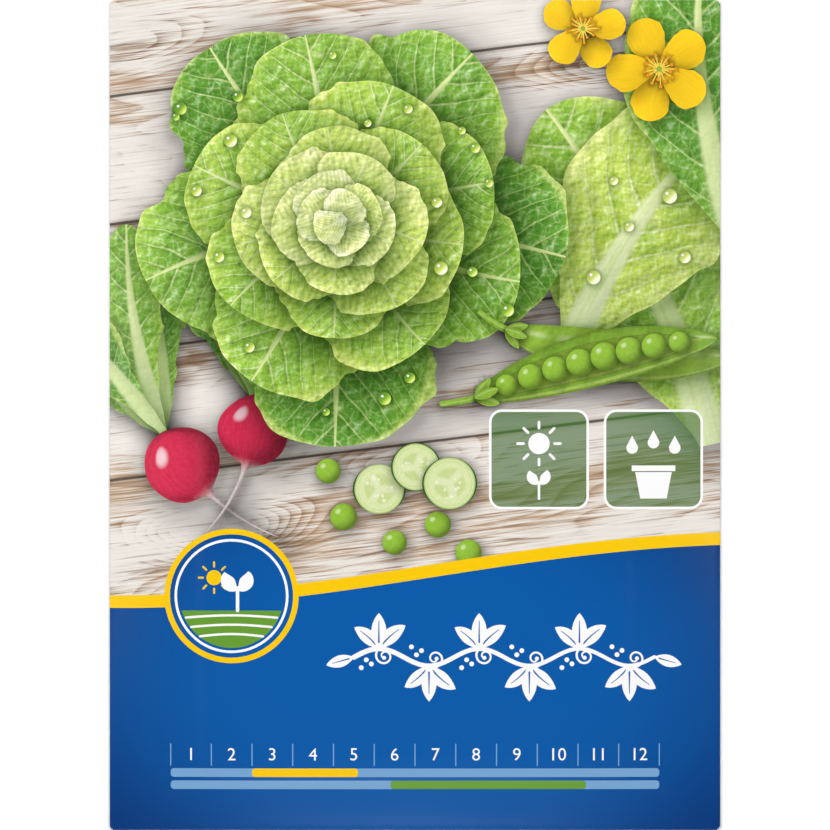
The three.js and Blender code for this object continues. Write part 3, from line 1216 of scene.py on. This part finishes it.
SHADOWS = ((0.9, 0.35, 0.34), (3.0, 1.1, 0.35))  # reach and slide by lift, and strength


def cast_shadows(flat, faces, tops):
    """Light left at each corner under the soft shadows of the shapes above it."""
    light = np.ones(faces.shape)
    for number, shape in enumerate(shapes):
        if not shape.lift:
            continue
        under = tops < number
        for reach, slide, strength in SHADOWS:
            spread = shape.lift * reach
            shadow = shape.rings[0] - turned(LIGHT_FROM) * shape.lift * slide
            here = near(flat, shadow, spread)
            fall = np.zeros(len(flat))
            gap = distance(flat[here], shadow)
            fall[here] = strength * (1 - smoothstep(0, spread, gap))
            light[under] *= 1 - fall[faces[under]]
    return light


def corner_values(flat, faces, tops, tints):
    """What the inks read at each corner of each face."""
    local, paint = np.zeros((*faces.shape, 3)), np.zeros((*faces.shape, 4))
    edge, hue = np.zeros(faces.shape), np.zeros(faces.shape)
    light = cast_shadows(flat, faces, tops)
    for number in np.unique(tops):
        shape = shapes[number]
        mine = tops == number
        paint[mine] = linear(shape.paint)
        hue[mine] = shape.hue
        if shape.ink in EVENLY_LIT and not shape.lift:
            light[mine] = 1
        if shape.axis:
            along, across = shape.axis.measure(flat[faces[mine]])
            local[mine] = np.stack([along, across, np.full(along.shape, shape.seed)], -1)
            if shape.half:
                half = np.maximum(shape.half * shape.profile(along), 0.01)
                edge[mine] = np.clip(across / half, -1, 1)
            if shape.light:
                light[mine] *= shape.light(along, edge[mine])
    tint = np.repeat(tints[:, None], 3, 1)
    return {"local": local, "paint": paint, "edge": edge, "hue": hue, "light": light, "tint": tint}


# The bag's map has four areas: front, back, glue flap and unprinted side. For each, a
# millimetre in thousandths of the map, a place on the sheet, and where that is on the map
MAP_SCALES = np.array([5.05, 2.9, 2.9, 1.15])
MAP_FROM = np.array([-60.3, BACK_START, LEFT - GLUE_FLAP - 1, -74])
MAP_TO = np.array([12 + 500j, 644 + 745j, 640 + 245j, 700 + 245j])


def map_places(flat, faces, hidden):
    corners = flat[faces]
    u = corners.mean(1).real
    on_back = u > RIGHT + math.pi * RIGHT_FOLD / 2
    on_glue = u < LEFT - math.pi * LEFT_FOLD / 2
    area = np.select([hidden, on_back, on_glue], [3, 1, 2], 0)[:, None]
    return ((corners - MAP_FROM[area]) * MAP_SCALES[area] + MAP_TO[area]) / 1000


def new_mesh(name, places, faces, *materials):
    mesh = bpy.data.meshes.new(name)
    mesh.from_pydata((np.array(places) * MM).tolist(), [], np.array(faces).tolist())
    mesh.polygons.foreach_set("use_smooth", [True] * len(faces))
    for material in materials:
        mesh.materials.append(material)
    return mesh


def carry(mesh, name, domain, values):
    """Puts these values on the mesh's points or corners."""
    kind, field = LAYERS[CARRIED.get(name, "Fac")]
    layer = mesh.attributes.new(name, kind, domain)
    layer.data.foreach_set(field, values.astype(np.float32).ravel())


def wall(ring, under):
    """Quads between two rings of vertices, one under the other."""
    return np.column_stack([ring, under, np.roll(under, -1), np.roll(ring, -1)])


def sheet_mesh(name, rng, pitch):
    """The folded bag: the printed side, the unprinted side under it, and the cut edge."""
    rings = [ring for shape in shapes for ring in shape.rings]
    front, triangles = triangulate(rings, *grid_points(rng, pitch))

    # The unprinted side has the same border and a coarser net of triangles.
    ring = borders(triangles.tolist())[0]
    back, back_triangles = triangulate([front[ring]], *grid_points(rng, 3 * pitch))
    number = {place: i for i, place in enumerate(back.tolist(), len(front))}
    under = [number[place] for place in front[ring].tolist()]
    walls = wall(ring, under)[:, [0, 1, 2, 0, 2, 3]].reshape(-1, 3)
    faces = np.concatenate([triangles, back_triangles[:, ::-1] + len(front), walls])
    flat = np.concatenate([front, back])
    ways = normals(flat)
    ways[len(front):] *= -1
    places = fold_up(flat) + ways * SHEET / 2
    mesh = new_mesh(name, places, faces, bare_paper(), *map(printed, INKS))

    hidden = np.arange(len(faces)) >= len(triangles)
    tops, tints = (found * ~hidden for found in painted(flat[faces].mean(1)))
    numbers = np.array([FILLS.index(shape.ink) for shape in shapes])
    mesh.polygons.foreach_set("material_index", numbers[tops])
    carry(mesh, "sheet", "POINT", level(flat))
    for key, values in corner_values(flat, faces, tops, tints).items():
        carry(mesh, key, "CORNER", values)
    maps = map_places(flat, faces, hidden)
    mesh.uv_layers.new(name="OFBake").data.foreach_set("uv", maps.ravel().view(float))

    corner_ways = ways[faces]
    a, b, c = places[walls].swapaxes(0, 1)
    corner_ways[-len(walls):] = unit(np.cross(b - a, c - a))[:, None]
    mesh.normals_split_custom_set(corner_ways.reshape(-1, 3).tolist())
    mesh.validate()
    return mesh


def add_object(name, data):
    made = bpy.data.objects.new(name, data)
    bpy.context.scene.collection.objects.link(made)
    return made


def piece(mesh, slot, *nodes):
    made = add_object(mesh.name, mesh)
    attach(made, "root")
    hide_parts(*nodes)


PITCH = 0.95
bag = sheet_mesh("folded_paper_bag", np.random.default_rng(7), PITCH)
piece(bag, "printed_paper", "paper_bag")


# The sachet: two foil films, sealed along their rims with a fine diamond knurl
CRIMP = 1.5
FOIL = 0.07
FILM_PITCH = 1.0
SEED_NODES = sorted(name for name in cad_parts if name.startswith("seed_"))
SEEDS_LOW = min(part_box(name)[0].z for name in SEED_NODES) / MM
SEED_FLOOR = SEEDS_LOW - FOIL / 2 - 0.005


def low_film(x, y):
    """The lower film lies on the back panel, and its middle carries the seeds."""
    rim = back_height(x, y) + SHEET / 2 + 0.12
    return rim + (SEED_FLOOR - rim) * smoothstep(0, 10, in_sachet(x, y) - SACHET_SEAL)


def high_film(x, y):
    """The upper film leaves the lower one inside the seal and lies crumpled."""
    low = low_film(x, y) + FOIL + 0.02
    crumple = sum(
        0.16 * abs(noise_field(x, y, (size, turn, 0.7), (size * 0.8, turn + 70, 2.0)))
        for size, turn in ((26, 12), (17, 97), (11, 51))
    )
    high = front_height(x, y) - SHEET / 2 - 0.10 - FOIL / 2 - crumple
    return low + np.maximum(high - low, 0) * smoothstep(0, 9, in_sachet(x, y) - SACHET_SEAL)


def film_mesh(name, height, foil):
    """A closed thin sheet over the sachet's rectangle."""
    x, y = np.meshgrid(*(
        np.linspace(low, high, round((high - low) / FILM_PITCH) + 1)
        for low, high in zip(sachet_low.xy, sachet_high.xy)
    ))
    middle = np.stack([x, y, height(x, y)], -1).reshape(-1, 3)
    places = np.concatenate([middle + (0, 0, FOIL / 2), middle - (0, 0, FOIL / 2)])
    number = np.arange(x.size).reshape(x.shape)
    corners = (number[:-1, :-1], number[:-1, 1:], number[1:, 1:], number[1:, :-1])
    top = np.stack(corners, -1).reshape(-1, 4)
    ring = np.array(borders(top.tolist())[0])
    faces = np.concatenate([top, top[:, ::-1] + x.size, wall(ring, ring + x.size)])
    return new_mesh(name, places, faces, foil)


def foil_material():
    at = Look("foil")
    x, y, _ = split(scaled(at.place, 1 / MM))
    middle = (sachet_low + sachet_high) / 2
    half = sachet_high - middle
    inner = (half.x - abs(x - middle.x)).math("MINIMUM", half.y - abs(y - middle.y))
    rim = smooth(inner, SACHET_SEAL, SACHET_SEAL - 0.6)
    turn = math.tau / CRIMP
    knurl = ((x + y) * turn).math("SINE") * ((x - y) * turn).math("SINE")
    crumple = noise(at.place, 420.0, 4, 0.6)
    tone = mix(crumple, (0.46, 0.47, 0.49, 1), (0.62, 0.62, 0.63, 1))
    wrinkles = cell_borders(at.place, 210.0) * 1.6 + crumple * 0.5
    height = wrinkles * (1 - rim) + knurl * rim
    return surface(at, tone, 0.34 + 0.14 * crumple, height, 0.16, Metallic=0.9)


foil = foil_material()
for node_name, height in (("sachet_lower_film", low_film), ("sachet_upper_film", high_film)):
    film = film_mesh(node_name.replace("film", "foil"), height, foil)
    piece(film, "foil_film", node_name)


# Round seeds with a finely netted coat and a small pale scar


def seed_material():
    at = Look("seed_coat")
    shade = noise(at.place, 380.0, 3, 0.6)
    coat = ramp(
        shade + at.hue * 0.3,
        (0.25, (0.016, 0.008, 0.006, 1)), (0.55, (0.048, 0.020, 0.012, 1)),
        (0.85, (0.110, 0.046, 0.022, 1)),
    )
    colour = mix(at.scar, coat, (0.23, 0.14, 0.08, 1))
    net = smooth(cell_borders(at.place, 5200.0), 0.0, 0.25)
    return surface(at, colour, 0.52 + 0.14 * shade, net, 0.02, Specular_IOR_Level=0.4)


def ball(cuts):
    """A unit ball: an octahedron whose edges are halved and pushed out, cuts times."""
    made = bmesh.new()
    bmesh.ops.create_uvsphere(made, u_segments=4, v_segments=2, radius=1)
    for _ in range(cuts):
        bmesh.ops.subdivide_edges(made, edges=made.edges, cuts=1, use_grid_fill=True)
        for vertex in made.verts:
            vertex.co.normalize()
    made.verts.index_update()
    places = np.array([vertex.co for vertex in made.verts])
    faces = np.array([[vertex.index for vertex in face.verts] for face in made.faces])
    made.free()
    return places, faces


def seed_mesh(name, nodes, rng):
    round_one, ball_faces = ball(4)
    places, hues, scars = [], [], []
    for node_name in nodes:
        low, high = (np.array(corner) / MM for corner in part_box(node_name))
        way = unit(rng.normal(size=(1, 3)))[0]
        dent = smoothstep(0.93, 0.99, round_one @ way)
        shift = rng.uniform(0, 6, 3)
        lumps = np.sin(round_one * (3, 4, 5) + shift).mean(1)
        size = (high - low).min() / 2 * (0.975 + 0.022 * lumps - 0.05 * dent)
        places.append(round_one * size[:, None] + (low + high) / 2)
        hues.append(np.full(len(round_one), rng.uniform(-0.5, 0.9)))
        scars.append(dent)
    first = len(round_one) * np.arange(len(nodes))[:, None, None]
    faces = np.concatenate(first + ball_faces)
    mesh = new_mesh(name, np.concatenate(places), faces, seed_material())
    carry(mesh, "hue", "POINT", np.concatenate(hues))
    carry(mesh, "scar", "POINT", np.concatenate(scars))
    return mesh


seeds = seed_mesh("round_seeds", SEED_NODES, np.random.default_rng(11))
piece(seeds, "seed_coat", *SEED_NODES)


# Stage: a white floor, soft light from the sides and a camera that looks straight down
FLOOR = 3000 + 3000j  # its far corner, from the middle
LAMP_ELEVATION = math.radians(52)
LENS = 200.0
SENSOR = 36.0


def floor():
    at = Look("floor_white")
    colour = mix(noise(at.place, 40.0, 2), (0.83, 0.83, 0.83, 1), (0.86, 0.86, 0.86, 1))
    material = surface(at, colour, 0.9, Specular_IOR_Level=0.0)
    corners = level(box(-FLOOR, FLOOR))
    add_object("floor", new_mesh("floor", corners, [range(4)], material))


def soft_box(name, azimuth, away, power):
    lamp = bpy.data.lights.new(name, "AREA")
    lamp.shape = "RECTANGLE"
    lamp.size, lamp.size_y = 1.2, 0.6
    lamp.energy = power
    made = add_object(name, lamp)
    side = turned(azimuth) * math.cos(LAMP_ELEVATION)
    way = Vector((side.real, side.imag, math.sin(LAMP_ELEVATION)))
    made.location = way * away
    made.rotation_euler = way.to_track_quat("Z", "Y").to_euler()
    made.visible_camera = False


def sky():
    """Even light from all round, stronger at the horizon than overhead."""
    world = bpy.data.worlds.new("sky")
    world.use_nodes = True
    tree = world.node_tree
    tree.nodes.clear()
    place = Field(node(tree, "TexCoord").outputs["Generated"])
    glow = ramp(split(place)[2], (0.12, (0.5, 0.5, 0.5, 1)), (0.60, (0.12, 0.12, 0.12, 1)))
    node(tree, "OutputWorld", {0: derive("Background", {0: glow, "Strength": 0.8})})
    bpy.context.scene.world = world


def camera():
    """The printed panel fills the frame from its bottom edge to its top edge."""
    made = add_object("camera", bpy.data.cameras.new("camera"))
    made.data.lens = LENS
    made.data.sensor_width = SENSOR
    made.data.clip_start = 0.01
    made.location = (0, 0, (HEIGHT * LENS / SENSOR + FRONT_Z) * MM)
    bpy.context.scene.camera = made


floor()
sky()
soft_box("key_left", 155, 1.3, 9.8)
soft_box("fill_right", 25, 1.3, 6.7)
soft_box("fill_top", 90, 1.4, 6.7)
soft_box("fill_bottom", 270, 1.4, 6.0)
camera()
bpy.context.scene.view_settings.view_transform = "Standard"
